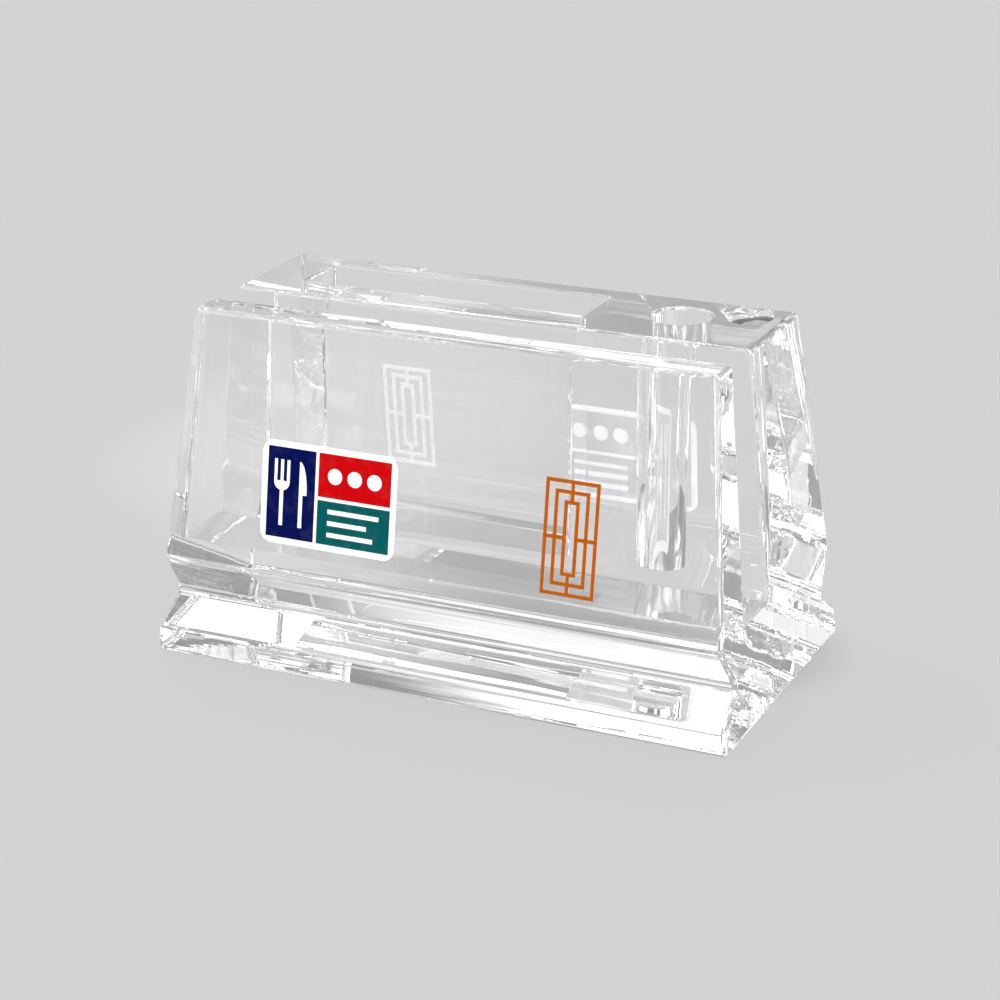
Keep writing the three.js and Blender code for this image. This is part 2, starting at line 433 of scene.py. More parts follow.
# %% Section of the base
PLINTH_HALF = base_box[1, 1]
PLINTH_HEIGHT = 6.9 * MM
FOOT_EDGE = 0.7 * MM
WAIST_HALF = 30.3 * MM
SHOULDER_TOP = PLINTH_HEIGHT + 5.7 * MM
WAIST_TOP = SHOULDER_TOP + 1.9 * MM
RIM_HEIGHT = 2.3 * MM
RIM_SETBACK = 0.5 * MM


def base_section():
    """From the front of the joint down to the foot, and its mirror image back up at the rear."""
    front = np.array([
        [-SHELF_HALF, JOINT],
        [RIM_SETBACK - SHELF_HALF, JOINT - RIM_HEIGHT],
        [-WAIST_HALF, WAIST_TOP],
        [-WAIST_HALF, SHOULDER_TOP],
        [-PLINTH_HALF, PLINTH_HEIGHT],
        [-PLINTH_HALF, FOOT_EDGE],
        [FOOT_EDGE - PLINTH_HALF, 0],
    ])
    return np.vstack([front, (front * [-1, 1])[::-1]])


print("base", in_mm(np.ptp(base_section(), axis=0)), "mm deep and high")

# %% Sections of the plate and the block
TOP_HALF = 26.5 * MM                # from the centre to the outer faces, at the top
SLOT_FLOOR_WIDTH = 15.4 * MM
SLOT_TOP_WIDTH = 10.8 * MM
PLATE_BACK = BLOCK_FRONT - SLOT_FLOOR_WIDTH


def outer_face(z):
    """Distance of the leaning outer faces from the centre plane, straight from the shelf to the top."""
    return SHELF_HALF + (TOP_HALF - SHELF_HALF) * (z - JOINT) / (TOP - JOINT)


def slot_width(z):
    """Width of the slot for the menu, straight from its floor to the top."""
    return SLOT_FLOOR_WIDTH + (SLOT_TOP_WIDTH - SLOT_FLOOR_WIDTH) * (z - JOINT) / (TOP - JOINT)


def plate_section():
    """From the plate's back at the joint, over the top with its two chamfers, and down the front."""
    shoulder = TOP - CHAMFER
    return np.array([
        [BLOCK_FRONT - slot_width(JOINT), JOINT],
        [BLOCK_FRONT - slot_width(shoulder), shoulder],
        [BLOCK_FRONT - slot_width(TOP) - CHAMFER, TOP],
        [CHAMFER - outer_face(TOP), TOP],
        [-outer_face(shoulder), shoulder],
        [-outer_face(JOINT), JOINT],
    ])


def block_section():
    """From the block's back at the joint, over the top with its two chamfers, and down its front."""
    shoulder = TOP - CHAMFER
    return np.array([
        [outer_face(JOINT), JOINT],
        [outer_face(shoulder), shoulder],
        [outer_face(TOP) - CHAMFER, TOP],
        [BLOCK_FRONT + CHAMFER, TOP],
        [BLOCK_FRONT, shoulder],
        [BLOCK_FRONT, JOINT],
    ])


print("slot", in_mm(slot_width(JOINT)), "mm wide at its floor,", in_mm(slot_width(TOP)), "mm at the top")

# %% [markdown]
# ## The three solids
#
# A mould leaves softer edges than a polisher does, so the roundings of the base are larger, with a fillet in
# the waist. Where two pieces are cemented, both have the very same face, turned opposite ways, and a ray
# passes from one to the other without a gap. They could be one solid, but the real stand has three pieces,
# and they can come apart here too.

# %% The face between block and base
def joint_under_block(solid, facing_up):
    """The flat face that block and base share: a strip at each end, and a panel round each well."""
    for stations in (right_end, left_end):
        end = strip(BLOCK_FRONT, SHELF_HALF, 1, -1, JOINT, stations)
        solid.polygon(end if facing_up else end[::-1], CEMENTED)
    full = station_x([JOINT])[right_end[0], 0]
    left = rectangle(-full, PANEL_SPLIT, BLOCK_FRONT, SHELF_HALF)
    right = rectangle(PANEL_SPLIT, full, BLOCK_FRONT, SHELF_HALF)
    ring_panel(solid, pocket_loop(), left, JOINT, CEMENTED, facing_up)
    ring_panel(solid, pen_loop(-PEN_DRAFT), right, JOINT, CEMENTED, facing_up)


# %% The base
MOULDED_ROUNDING = 1.1 * MM
WAIST_FILLET = 1.6 * MM
FOOT_ROUNDING = 0.45 * MM


def base_solid():
    """The skin, the slot's floor, the joints under plate and block, and the two wells' floors."""
    solid = Solid()
    corners_on_top = [BLOCK_FRONT + END_INSET, PLATE_BACK - END_INSET]
    moulded = [MOULDED_ROUNDING, WAIST_FILLET, WAIST_FILLET, MOULDED_ROUNDING]
    front_edges = moulded + [FOOT_ROUNDING, FOOT_ROUNDING]
    swept(solid, base_section(), front_edges + front_edges[::-1], end_extras=corners_on_top)
    solid.polygon(strip(-SHELF_HALF, PLATE_BACK, 1, -1, JOINT, all_stations), CEMENTED)
    solid.polygon(strip(PLATE_BACK, BLOCK_FRONT, -1, 1, JOINT, all_stations))
    joint_under_block(solid, facing_up=True)
    for loop in (pocket_loop(), pen_loop(-PEN_DRAFT)):
        solid.polygon(np.column_stack([loop, np.full(len(loop), JOINT)]))
    return solid


base = base_solid()
print("base made of", base.count, "points before welding")

# %% The plate
def plate_solid():
    """The skin and the joint under the plate."""
    solid = Solid()
    swept(solid, plate_section())
    solid.polygon(strip(-SHELF_HALF, PLATE_BACK, 1, -1, JOINT, all_stations)[::-1], CEMENTED)
    return solid


plate = plate_solid()
print("plate made of", plate.count, "points before welding")

# %% The block
def block_solid():
    """The skin without its flat top, the joint, the top round the two mouths, and the wells' walls."""
    solid = Solid()
    swept(solid, block_section(), drop_top=True)
    joint_under_block(solid, facing_up=False)
    full = station_x([TOP])[right_end[0], 0]
    front = BLOCK_FRONT + CHAMFER + ROUNDING
    rear = outer_face(TOP) - CHAMFER - ROUNDING
    mouth = mouth_path()[0, 0]
    ring_panel(solid, pocket_loop(mouth), rectangle(-full, PANEL_SPLIT, front, rear), TOP)
    ring_panel(solid, pen_loop(mouth), rectangle(PANEL_SPLIT, full, front, rear), TOP)
    well_wall(solid, pocket_loop, 0.0, smooth=False)
    well_wall(solid, pen_loop, PEN_DRAFT, smooth=True)
    return solid


block = block_solid()
print("block made of", block.count, "points before welding")

# %% [markdown]
# ## Shader maths in plain expressions
#
# A pattern is a formula on the place of a point, and a formula spread over a dozen Math nodes is hard to
# read. So a small class wraps a node's output, and each operator on it adds one Math node. Colours and
# vectors go through Mix and Vector Math nodes, because a Math node would turn a colour grey.

# %% Values in formulas
class Value:
    """An output that carries a number. An expression on values adds the Math nodes that work it out."""

    def __init__(self, shading, socket):
        self.shading = shading
        self.socket = socket

    def math(self, operation, *terms):
        made = self.shading.node("ShaderNodeMath", {"operation": operation}, dict(enumerate(terms)))
        return Value(self.shading, made.outputs[0])

    def __add__(self, other):
        return self.math("ADD", self, other)

    def __sub__(self, other):
        return self.math("SUBTRACT", self, other)

    def __rsub__(self, other):
        return self.math("SUBTRACT", other, self)

    def __mul__(self, other):
        return self.math("MULTIPLY", self, other)

    def __truediv__(self, other):
        return self.math("DIVIDE", self, other)

    def __rtruediv__(self, other):
        return self.math("DIVIDE", other, self)

    def __lt__(self, other):
        return self.math("LESS_THAN", self, other)

    def __gt__(self, other):
        return self.math("GREATER_THAN", self, other)

    def __abs__(self):
        return self.math("ABSOLUTE", self)

    def __and__(self, other):
        return self.math("MINIMUM", self, other)

    def __or__(self, other):
        return self.math("MAXIMUM", self, other)

    __radd__ = __add__
    __rmul__ = __mul__
    __rand__ = __and__
    __ror__ = __or__

    def smooth_step(self, low, high):
        """0 up to low, 1 from high, and a smooth step between them."""
        settings = {"interpolation_type": "SMOOTHSTEP"}
        made = self.shading.node("ShaderNodeMapRange", settings, {0: self, 1: low, 2: high})
        return Value(self.shading, made.outputs[0])


# %% The nodes of a material
class Shading:
    """The node tree of one material or of the world. Its method node() adds any node."""

    def __init__(self, tree):
        self.tree = tree

    def feed(self, socket, given):
        """Links a socket to a Value or an output, or sets it to a number, a colour or a vector."""
        if isinstance(given, Value):
            given = given.socket
        if isinstance(given, bpy.types.NodeSocket):
            self.tree.links.new(given, socket)
        else:
            socket.default_value = given

    def node(self, kind, settings=None, sockets=None):
        """Adds a node of this kind: first its settings, then the values or links of its sockets."""
        made = self.tree.nodes.new(kind)
        for name, setting in (settings or {}).items():
            setattr(made, name, setting)
        for name, given in (sockets or {}).items():
            self.feed(made.inputs[name], given)
        return made

    def mix(self, mask, under, over):
        """The colour under where the mask is 0, and the one over it where the mask is 1."""
        return self.node("ShaderNodeMix", {"data_type": "RGBA"}, {0: mask, 6: under, 7: over}).outputs[2]

    def painted(self, ground, layers):
        """A ground colour with layers of (mask, colour) laid over it in turn."""
        colour = (*ground, 1)
        for mask, paint in layers:
            colour = self.mix(mask, colour, (*paint, 1))
        return colour

    def parts(self, vector):
        """The X, Y and Z of a vector, as values."""
        split = self.node("ShaderNodeSeparateXYZ", None, {0: vector})
        return [Value(self, output) for output in split.outputs]

    def place(self):
        """Where a point is on the object, as a vector in metres."""
        return self.node("ShaderNodeTexCoord").outputs["Object"]

    def noise(self, where, **sockets):
        """A smooth noise from 0 to 1."""
        made = self.node("ShaderNodeTexNoise", None, {"Vector": where, **sockets})
        return Value(self, made.outputs[0])


# %% A new material
def new_material(name, **constants):
    """A material with one Principled shader. What is the same all over is set on the shader's own sockets,
    named here with _ for a space."""
    material = bpy.data.materials.new(name)
    material.use_nodes = True
    shader = material.node_tree.nodes["Principled BSDF"]
    for socket, value in constants.items():
        shader.inputs[socket.replace("_", " ")].default_value = value
    print("material", name)
    return material, Shading(material.node_tree), shader


# %% [markdown]
# ## Acrylic and cement
#
# Acrylic bends light a little less than glass, with an index of 1.49, and has almost no colour. Polished
# faces are never quite flat. Buffing leaves long, shallow waves that run with the length, and the cut ends
# keep shorter ones. They could be modelled in the mesh, at the price of very many faces. A weak bump with
# a long wavelength bends the light in the same way and leaves the faces clean.
#
# The cemented joint has no surface at all for light, so it is fully see-through.

# %% Waves in the polish
LONG_WAVES, LONG_HEIGHT = (14, 90, 90), 0.06     # waves per metre along X, Y and Z, and their height in mm
FINE_WAVES, FINE_HEIGHT = (9, 260, 260), 0.02
END_WAVES, END_HEIGHT = (70, 60, 60), 0.1
END_SKIN = 0.7 * MM                 # the end waves start at this depth under the end face
FULL_END_SKIN = 0.1 * MM            # and are whole at this one


def waves(shading, where, per_metre):
    """A smooth noise from 0 to 1 with this many waves per metre along X, Y and Z."""
    drawn_out = shading.node("ShaderNodeVectorMath", {"operation": "MULTIPLY"}, {0: where, 1: per_metre})
    return shading.noise(drawn_out.outputs[0], Scale=1.0, Detail=1.0)


print("waves", in_mm(1 / LONG_WAVES[0]), "mm long and", in_mm(1 / LONG_WAVES[1]), "mm wide")

# %% Acrylic
ACRYLIC_IOR = 1.49
ACRYLIC_CLEARNESS = 0.992


def clear_acrylic():
    """Height = long waves + fine waves + end waves where |x| + lean * z is close to the half length."""
    material, shading, shader = new_material(
        "clear_acrylic",
        Base_Color=(ACRYLIC_CLEARNESS,) * 3 + (1,),
        Roughness=0.0,
        IOR=ACRYLIC_IOR,
        Transmission_Weight=1.0,
    )
    where = shading.place()
    x, _, z = shading.parts(where)
    reach = abs(x) + z * END_LEAN
    at_end = reach.smooth_step(BASE_LENGTH / 2 - END_SKIN, BASE_LENGTH / 2 - FULL_END_SKIN)
    height = waves(shading, where, LONG_WAVES) * LONG_HEIGHT + waves(shading, where, FINE_WAVES) * FINE_HEIGHT
    height = height + waves(shading, where, END_WAVES) * at_end * END_HEIGHT
    bump = shading.node("ShaderNodeBump", None, {"Strength": 1.0, "Distance": MM, "Height": height})
    shading.feed(shader.inputs["Normal"], bump.outputs[0])
    return material


acrylic = clear_acrylic()

# %% Cement, and the three pieces made
cement = new_material("cemented_joint", Alpha=0.0, Roughness=1.0)[0]

for packed, solid in (("base_block", base), ("front_plate", plate), ("rear_block", block)):
    piece = solid.piece(packed + "_acrylic", acrylic, cement)
    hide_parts(packed)

# %% [markdown]
# ## The prints
#
# Such prints are screen-printed on the outside of the plate and of the block: a white ground first, and the
# colours on it. From outside one sees the colours, and from inside, through the acrylic, only the white
# ground. A print could be painted on the acrylic's own material, but a ray inside the acrylic would then see
# its colours from behind. So each print is a very thin closed sheet just off the face, with the colours in
# one material slot and the white ground in another. Its UV map holds millimetres from the print's centre, so
# that the patterns can be written in real sizes.

# %% Where the prints lie
PRINT_Z = 44.9 * MM
PRINT_GAP = 0.02 * MM
INK_THICKNESS = 0.05 * MM
BADGE_X = -28.2 * MM
FRET_X = 34.2 * MM
FACE_TILT = math.atan((SHELF_HALF - TOP_HALF) / (TOP - JOINT))


def on_face(flat, x, rear, height):
    """Places points (u, v) in mm, flat on the leaning face: u runs along X, v up the slope and height out
    of the face. The rear face is the front one turned half round the Z axis."""
    up = np.array([0, math.sin(FACE_TILT), math.cos(FACE_TILT)])
    out = np.array([0, -math.cos(FACE_TILT), math.sin(FACE_TILT)])
    origin = np.array([x, -outer_face(PRINT_Z), PRINT_Z])
    along = np.array([1.0, 0, 0])
    points = origin + flat[:, :1] * MM * along + flat[:, 1:] * MM * up + height * out
    return points * ([-1, -1, 1] if rear else [1, 1, 1])


print("the faces lean by", round(math.degrees(FACE_TILT), 2), "degrees")

# %% A printed sheet
OUTSIDE, GROUND = 0, 1              # material slots
PRINT_MAP = "millimetres"


def sheet(name, flat, faces, rim, x, rear, materials):
    """A closed sheet: the faces on the outside, the same ones reversed on the inside, and a wall along the
    rim, which is the pairs of points on its edge."""
    count = len(flat)
    outer = on_face(flat, x, rear, PRINT_GAP + INK_THICKNESS)
    inner = on_face(flat, x, rear, PRINT_GAP)
    walls = np.column_stack([rim[:, 0], rim[:, 0] + count, rim[:, 1] + count, rim[:, 1]])
    all_faces = faces.tolist() + (faces[:, ::-1] + count).tolist() + walls.tolist()
    mesh = bpy.data.meshes.new(name)
    mesh.from_pydata(np.vstack([outer, inner]), [], all_faces)
    mesh.polygons.foreach_set("material_index", [OUTSIDE] * len(faces) + [GROUND] * (len(faces) + len(walls)))
    corner = np.zeros(len(mesh.loops), int)
    mesh.loops.foreach_get("vertex_index", corner)
    layer = mesh.uv_layers.new(name=PRINT_MAP)
    layer.data.foreach_set("uv", np.vstack([flat, flat])[corner].ravel())
    return make_piece(name, mesh, materials)


# %% [markdown]
# ## The badge's and the lattice's outlines
#
# The badge is one rounded rectangle, so one many-sided face is enough, and its pictures come from the
# material. The ornament on the right is a window lattice: upright frames nested one in another and tied by
# a cross. It could be a picture with see-through gaps, but then the gaps would be lost in the exported
# mesh. So its strokes are real, and they are worked out on a grid of lines, by asking of each cell whether
# a bar covers it.

# %% Badge outline
BADGE_SIZE = np.array([36.0, 25.0])              # in mm, as in the print's own UV map
BADGE_CORNER = 3.0
BADGE_CORNER_STEPS = 8

badge_flat = rounded_rectangle(BADGE_SIZE / 2, BADGE_CORNER, 0.0, BADGE_CORNER_STEPS)
around = np.arange(len(badge_flat))
badge_shape = (badge_flat, around[None], np.stack([around, np.roll(around, -1)], 1))
print("badge outline of", len(badge_flat), "points")

# %% Lattice
FRET_SIZE = np.array([13.4, 27.2])
FRET_BAR = 0.9
FRET_PITCH = 2.4
FRET_FRAMES = 3


def lattice_lines(half):
    """Both edges of every bar and of the middle tie, along one axis from -half to half."""
    steps = (np.arange(FRET_FRAMES)[:, None] * FRET_PITCH + np.array([0, FRET_BAR])).ravel()
    return np.sort(np.concatenate([half - steps, steps - half, [-FRET_BAR / 2, FRET_BAR / 2]]))


def inked_cells(u, v):
    """With d the distance of a cell from the outer edge, it is on a frame where d modulo the pitch is less
    than the bar, and on a tie where it is within half a bar of a middle line, in both cases no deeper than
    the innermost frame."""
    depth = np.minimum(FRET_SIZE[0] / 2 - abs(u), FRET_SIZE[1] / 2 - abs(v))
    deepest = (FRET_FRAMES - 1) * FRET_PITCH + FRET_BAR
    frame_bar = depth % FRET_PITCH < FRET_BAR
    tie = np.minimum(abs(u), abs(v)) < FRET_BAR / 2
    return (frame_bar | tie) & (depth < deepest)


def lattice():
    """Points, cells and rim of the lattice. A cell's side is on the rim if no other cell has it the other
    way round."""
    lines = [lattice_lines(half) for half in FRET_SIZE / 2]
    middles = [(line[1:] + line[:-1]) / 2 for line in lines]
    inked = inked_cells(*np.meshgrid(*middles, indexing="ij"))
    total = len(lines[0]) * len(lines[1])
    index = np.arange(total).reshape(len(lines[0]), len(lines[1]))
    cells = np.stack([index[:-1, :-1], index[1:, :-1], index[1:, 1:], index[:-1, 1:]], -1)[inked]
    sides = np.stack([cells, np.roll(cells, -1, axis=1)], -1).reshape(-1, 2)
    shared = np.isin(sides[:, 1] * total + sides[:, 0], sides[:, 0] * total + sides[:, 1])
    flat = np.stack(np.meshgrid(*lines, indexing="ij"), -1).reshape(-1, 2)
    used = np.unique(cells)
    place = np.zeros(total, int)
    place[used] = np.arange(len(used))
    return flat[used], place[cells], place[sides[~shared]]


fret_shape = lattice()
print("lattice points, cells and sides on its rim:", [len(part) for part in fret_shape])

# %% [markdown]
# ## Inks
#
# Screen ink isn't dead flat: its coverage varies a little and it has a fine grain, which go into the colour,
# the roughness and a bump. It is matt, so it mirrors little. The badge is a generic one in the photograph's
# colours: a navy panel with a fork and a knife, a red panel with three discs and a teal panel with three
# bars, inside a white border. An image texture would be the usual way to put it on. Here it is made of
# rectangles and discs in millimetres, which stay sharp at any distance and are easy to change.

# %% Ink colours and grain
NAVY, RED, TEAL = (0.0, 0.003, 0.066), (0.49, 0.0, 0.001), (0.0, 0.082, 0.083)
WHITE_INK = (0.95, 0.95, 0.95)
ORANGE_BROWN, THIN_ORANGE = (0.40, 0.085, 0.0), (0.46, 0.11, 0.003)
INK_MIRROR = 0.05
INK_ROUGHNESS, GROUND_ROUGHNESS = 0.38, 0.5
ROUGHNESS_SPREAD = 0.16
FINE_GRAIN, BROAD_GRAIN = 4000.0, 350.0          # spots per metre
GRAIN_STRENGTH, GRAIN_HEIGHT = 0.15, 0.01 * MM


def grain(shading, shader, roughness):
    """A fine noise in the bump, and a broad one in the roughness, which also tells how thin the ink is."""
    shader.inputs["Specular IOR Level"].default_value = INK_MIRROR
    where = shading.place()
    fine = shading.noise(where, Scale=FINE_GRAIN, Detail=2.0)
    thinness = shading.noise(where, Scale=BROAD_GRAIN, Detail=1.0)
    sockets = {"Strength": GRAIN_STRENGTH, "Distance": GRAIN_HEIGHT, "Height": fine}
    shading.feed(shader.inputs["Normal"], shading.node("ShaderNodeBump", None, sockets).outputs[0])
    shading.feed(shader.inputs["Roughness"], thinness * ROUGHNESS_SPREAD + (roughness - ROUGHNESS_SPREAD / 2))
    return thinness


print("ink grain of", in_mm(1 / FINE_GRAIN), "mm and", in_mm(1 / BROAD_GRAIN), "mm")

# %% Masks
def bar_mask(u, v, left, right, bottom, top):
    """1 inside the rectangle."""
    in_width = abs(u - (left + right) / 2) < (right - left) / 2
    in_height = abs(v - (bottom + top) / 2) < (top - bottom) / 2
    return in_width & in_height


def disc_mask(u, v, x, y, radius, squash=1.0):
    """1 where ((u - x) / squash)^2 + (v - y)^2 is less than the radius squared."""
    across, up = (u - x) / squash, v - y
    return across * across + up * up < radius * radius


# %% The badge's panels
BORDER = 1.5
PANEL_GAP = 0.8
COLUMN_SPLIT = -3.2                 # between the navy panel and the two others
PANEL_U, PANEL_V = BADGE_SIZE / 2 - BORDER
NAVY_RIGHT = COLUMN_SPLIT - PANEL_GAP / 2
OTHERS_LEFT = COLUMN_SPLIT + PANEL_GAP / 2


def panel_masks(u, v):
    """The navy, the red and the teal panel."""
    navy = bar_mask(u, v, -PANEL_U, NAVY_RIGHT, -PANEL_V, PANEL_V)
    red = bar_mask(u, v, OTHERS_LEFT, PANEL_U, PANEL_GAP / 2, PANEL_V)
    teal = bar_mask(u, v, OTHERS_LEFT, PANEL_U, -PANEL_V, -PANEL_GAP / 2)
    return navy, red, teal


print("panels", PANEL_U - OTHERS_LEFT, "mm by", PANEL_V - PANEL_GAP / 2, "mm")

# %% The badge's pictures
FORK_U, KNIFE_U = -12.6, -7.9       # the fork's middle line and the knife's back
HANDLE, HANDLE_FOOT = 1.0, -8.0
FORK_NECK, FORK_TOP, FORK_BOWL = 2.8, 8.0, 2.1
OVERLAP = 0.2                       # by which the parts of the fork run into one another
TINE_SPACING, TINE = 1.7, 0.8
KNIFE_NECK, KNIFE_HANDLE_TOP = 0.0, 1.0
BLADE, BLADE_V, BLADE_SQUASH = 7.4, 0.6, 0.28
DISC, DISC_SPACING = 1.9, 5.25
LINE, LINE_LENGTHS = 1.1, (13.6, 10.4, 12.2)
LINE_LEFT, FIRST_LINE, LINE_SPACING = 0.0, -2.9, 2.8


def fork_mask(u, v):
    """A straight handle, the lower part of a disc, and three tines that stand in it."""
    handle = bar_mask(u, v, FORK_U - HANDLE / 2, FORK_U + HANDLE / 2, HANDLE_FOOT, FORK_NECK + OVERLAP)
    fork = handle | (disc_mask(u, v, FORK_U, FORK_NECK - OVERLAP, FORK_BOWL) & (v < FORK_NECK))
    for middle_u in (FORK_U - TINE_SPACING, FORK_U, FORK_U + TINE_SPACING):
        tine = bar_mask(u, v, middle_u - TINE / 2, middle_u + TINE / 2, FORK_NECK - 2 * OVERLAP, FORK_TOP)
        fork = fork | tine
    return fork


def knife_mask(u, v):
    """A straight handle, and the upper right quarter of an upright ellipse as the blade."""
    handle = bar_mask(u, v, KNIFE_U, KNIFE_U + HANDLE, HANDLE_FOOT, KNIFE_HANDLE_TOP)
    ellipse = disc_mask(u, v, KNIFE_U, BLADE_V, BLADE, BLADE_SQUASH)
    return handle | (ellipse & (u > KNIFE_U) & (v > KNIFE_NECK))


def picture_mask(u, v):
    """All the white pictures: fork and knife, three discs in the red panel, three bars in the teal one."""
    pictures = fork_mask(u, v) | knife_mask(u, v)
    red_u, red_v = (OTHERS_LEFT + PANEL_U) / 2, (PANEL_GAP / 2 + PANEL_V) / 2
    for step in (-1, 0, 1):
        pictures = pictures | disc_mask(u, v, red_u + step * DISC_SPACING, red_v, DISC)
    for row, length in enumerate(LINE_LENGTHS):
        line_v = FIRST_LINE - row * LINE_SPACING
        line_right = LINE_LEFT + length
        pictures = pictures | bar_mask(u, v, LINE_LEFT, line_right, line_v - LINE / 2, line_v + LINE / 2)
    return pictures


print("discs", 2 * DISC, "mm across, bars", LINE, "mm high")

# %% The front of the badge
# The ink shows what is under it from this thinness on, and this much of it for each unit of thinness.
THIN_BADGE, BADGE_SHOWS = 0.5, 0.04


def print_place(shading):
    """U and V of the print's own map, in mm from its centre."""
    return shading.parts(shading.node("ShaderNodeUVMap", {"uv_map": PRINT_MAP}).outputs[0])[:2]


def badge_colours():
    """The three panels on white, with the pictures left white and the ink a little thin in places."""
    material, shading, shader = new_material("badge_colours")
    thinness = grain(shading, shader, INK_ROUGHNESS)
    u, v = print_place(shading)
    navy, red, teal = panel_masks(u, v)
    white = picture_mask(u, v) | ((thinness - THIN_BADGE) * BADGE_SHOWS)
    layers = [(navy, NAVY), (red, RED), (teal, TEAL), (white, WHITE_INK)]
    shading.feed(shader.inputs["Base Color"], shading.painted(WHITE_INK, layers))
    return material


badge_front = badge_colours()

# %% [markdown]
# ### The white ground
#
# The back of a print is seen through the acrylic, with light coming through the ink from the other side. A
# Translucent shader would carry that light, but through a sheet this close to refracting faces it stays
# noisy. So the ground gives off the light that comes through it, as a steady glow. It is solid white under
# the border and the pictures, and a thin grey veil under the colours.

# %% The back of the badge
GLOW = (0.53, 0.53, 0.53)
VEIL, VEIL_GLOW = (0.60, 0.60, 0.61), (0.37, 0.37, 0.38)


def badge_ground():
    """White and its glow, with the veil under the panels and white again under the pictures."""
    material, shading, shader = new_material("badge_white_ground", Emission_Strength=1.0)
    grain(shading, shader, GROUND_ROUGHNESS)
    u, v = print_place(shading)
    navy, red, teal = panel_masks(u, v)
    panel = navy | red | teal
    pictures = picture_mask(u, v)
    colour = shading.painted(WHITE_INK, [(panel, VEIL), (pictures, WHITE_INK)])
    glow = shading.painted(GLOW, [(panel, VEIL_GLOW), (pictures, GLOW)])
    shading.feed(shader.inputs["Base Color"], colour)
    shading.feed(shader.inputs["Emission Color"], glow)
    return material


badge_materials = [badge_front, badge_ground()]

# %% The lattice's inks
THIN_LATTICE, LATTICE_SHOWS = 0.4, 0.5


def lattice_ink():
    """Orange brown, a little lighter where the ink is thin."""
    material, shading, shader = new_material("lattice_orange_brown")
    thinness = grain(shading, shader, INK_ROUGHNESS)
    colour = shading.painted(ORANGE_BROWN, [((thinness - THIN_LATTICE) * LATTICE_SHOWS, THIN_ORANGE)])
    shading.feed(shader.inputs["Base Color"], colour)
    return material


def lattice_ground():
    """White, with the same glow all over."""
    material, shading, shader = new_material(
        "lattice_white_ground", Base_Color=(*WHITE_INK, 1), Emission_Color=(*GLOW, 1), Emission_Strength=1.0
    )
    grain(shading, shader, GROUND_ROUGHNESS)
    return material


lattice_materials = [lattice_ink(), lattice_ground()]

# %% The four prints
for side_name, turned in (("front", False), ("rear", True)):
    badge = sheet(f"{side_name}_badge_print", *badge_shape, BADGE_X, turned, badge_materials)
    fret = sheet(f"{side_name}_fret_print", *fret_shape, FRET_X, turned, lattice_materials)
    for piece, packed, finish in ((badge, "badge", "badge_ink"), (fret, "fret", "lattice_ink")):
        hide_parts(f"{side_name}_{packed}")

# %% [markdown]
# ## The table
#
# The stand was photographed on a pale, even ground. A lit white plane would shade off with distance and
# reflect the lamps, and clear acrylic shows every such change many times over. So the table mostly gives off
# its grey itself, the same in every direction, and only a small part of it is lit and takes the stand's
# faint shadow. A darker patch under the stand and a wide, faint light one behind it stand for the shade and
# the light that the acrylic gathers on a real table.

# %% Table
TABLE_GREY = 0.651                  # what the table shows to the camera
TABLE_DIFFUSE = 0.05                # the part of it that is lit
LIGHT_ON_TABLE = 1.72               # how bright the lamps make a white table
FLOOR_REACH = 6.0
FLOOR_DROP = 0.05 * MM              # keeps the table clear of the stand's underside
SHADE, SHADE_MIDDLE, SHADE_REACH = -0.24, (0.018, 0.018), (0.072, 0.044)
POOL, POOL_MIDDLE, POOL_REACH = 0.08, (-0.095, 0.100), (0.085, 0.080)
PATCH_CORE, PATCH_RIM = 0.1, 1.0    # squared distance from a patch's middle, as a share of its reach


def soft_patch(shading, middle, reach):
    """1 in the middle of an ellipse on the table and 0 from its rim outwards."""
    x, y = shading.parts(shading.place())[:2]
    across = (x - middle[0]) / reach[0]
    ahead = (y - middle[1]) / reach[1]
    return 1 - (across * across + ahead * ahead).smooth_step(PATCH_CORE, PATCH_RIM)


def table_material():
    """The glow is the table's grey, less what the lamps give it, plus the two patches."""
    material, shading, shader = new_material(
        "pale_table",
        Base_Color=(TABLE_DIFFUSE,) * 3 + (1,),
        Roughness=1.0,
        Specular_IOR_Level=0.0,
        Emission_Strength=1.0,
    )
    shade = soft_patch(shading, SHADE_MIDDLE, SHADE_REACH) * SHADE
    pool = soft_patch(shading, POOL_MIDDLE, POOL_REACH) * POOL
    glow = shade + pool + (TABLE_GREY - TABLE_DIFFUSE * LIGHT_ON_TABLE)
    shading.feed(shader.inputs["Emission Color"], shading.mix(glow, (0, 0, 0, 1), (1, 1, 1, 1)))
    return material


def make_floor():
    """One large square, level just under the stand."""
    corners = rectangle(-FLOOR_REACH, FLOOR_REACH, -FLOOR_REACH, FLOOR_REACH)
    mesh = bpy.data.meshes.new("floor")
    mesh.from_pydata(np.column_stack([corners, np.full(4, -FLOOR_DROP)]), [], [(0, 1, 2, 3)])
    mesh.materials.append(table_material())
    floor = bpy.data.objects.new("floor", mesh)
    bpy.context.scene.collection.objects.link(floor)
    print("table", 2 * FLOOR_REACH, "m wide")


make_floor()

# %% [markdown]
# ## The studio
#
# The bright shapes inside the acrylic are pictures of the lamps, bent and mirrored, and their edges tell how
# large and how soft the lamps are. Area lamps near the stand would do, but they also light the table
# unevenly, and each needs its own place. A sky with soft-edged panels in it lights the table evenly and
# comes from one formula. Each panel stands between two azimuths and two elevations.

# %% Lamps
ROOM = 0.3                          # the grey of the room between the lamps
LAMP_EDGE = 4                       # how far the edge of a lamp fades, in degrees each way
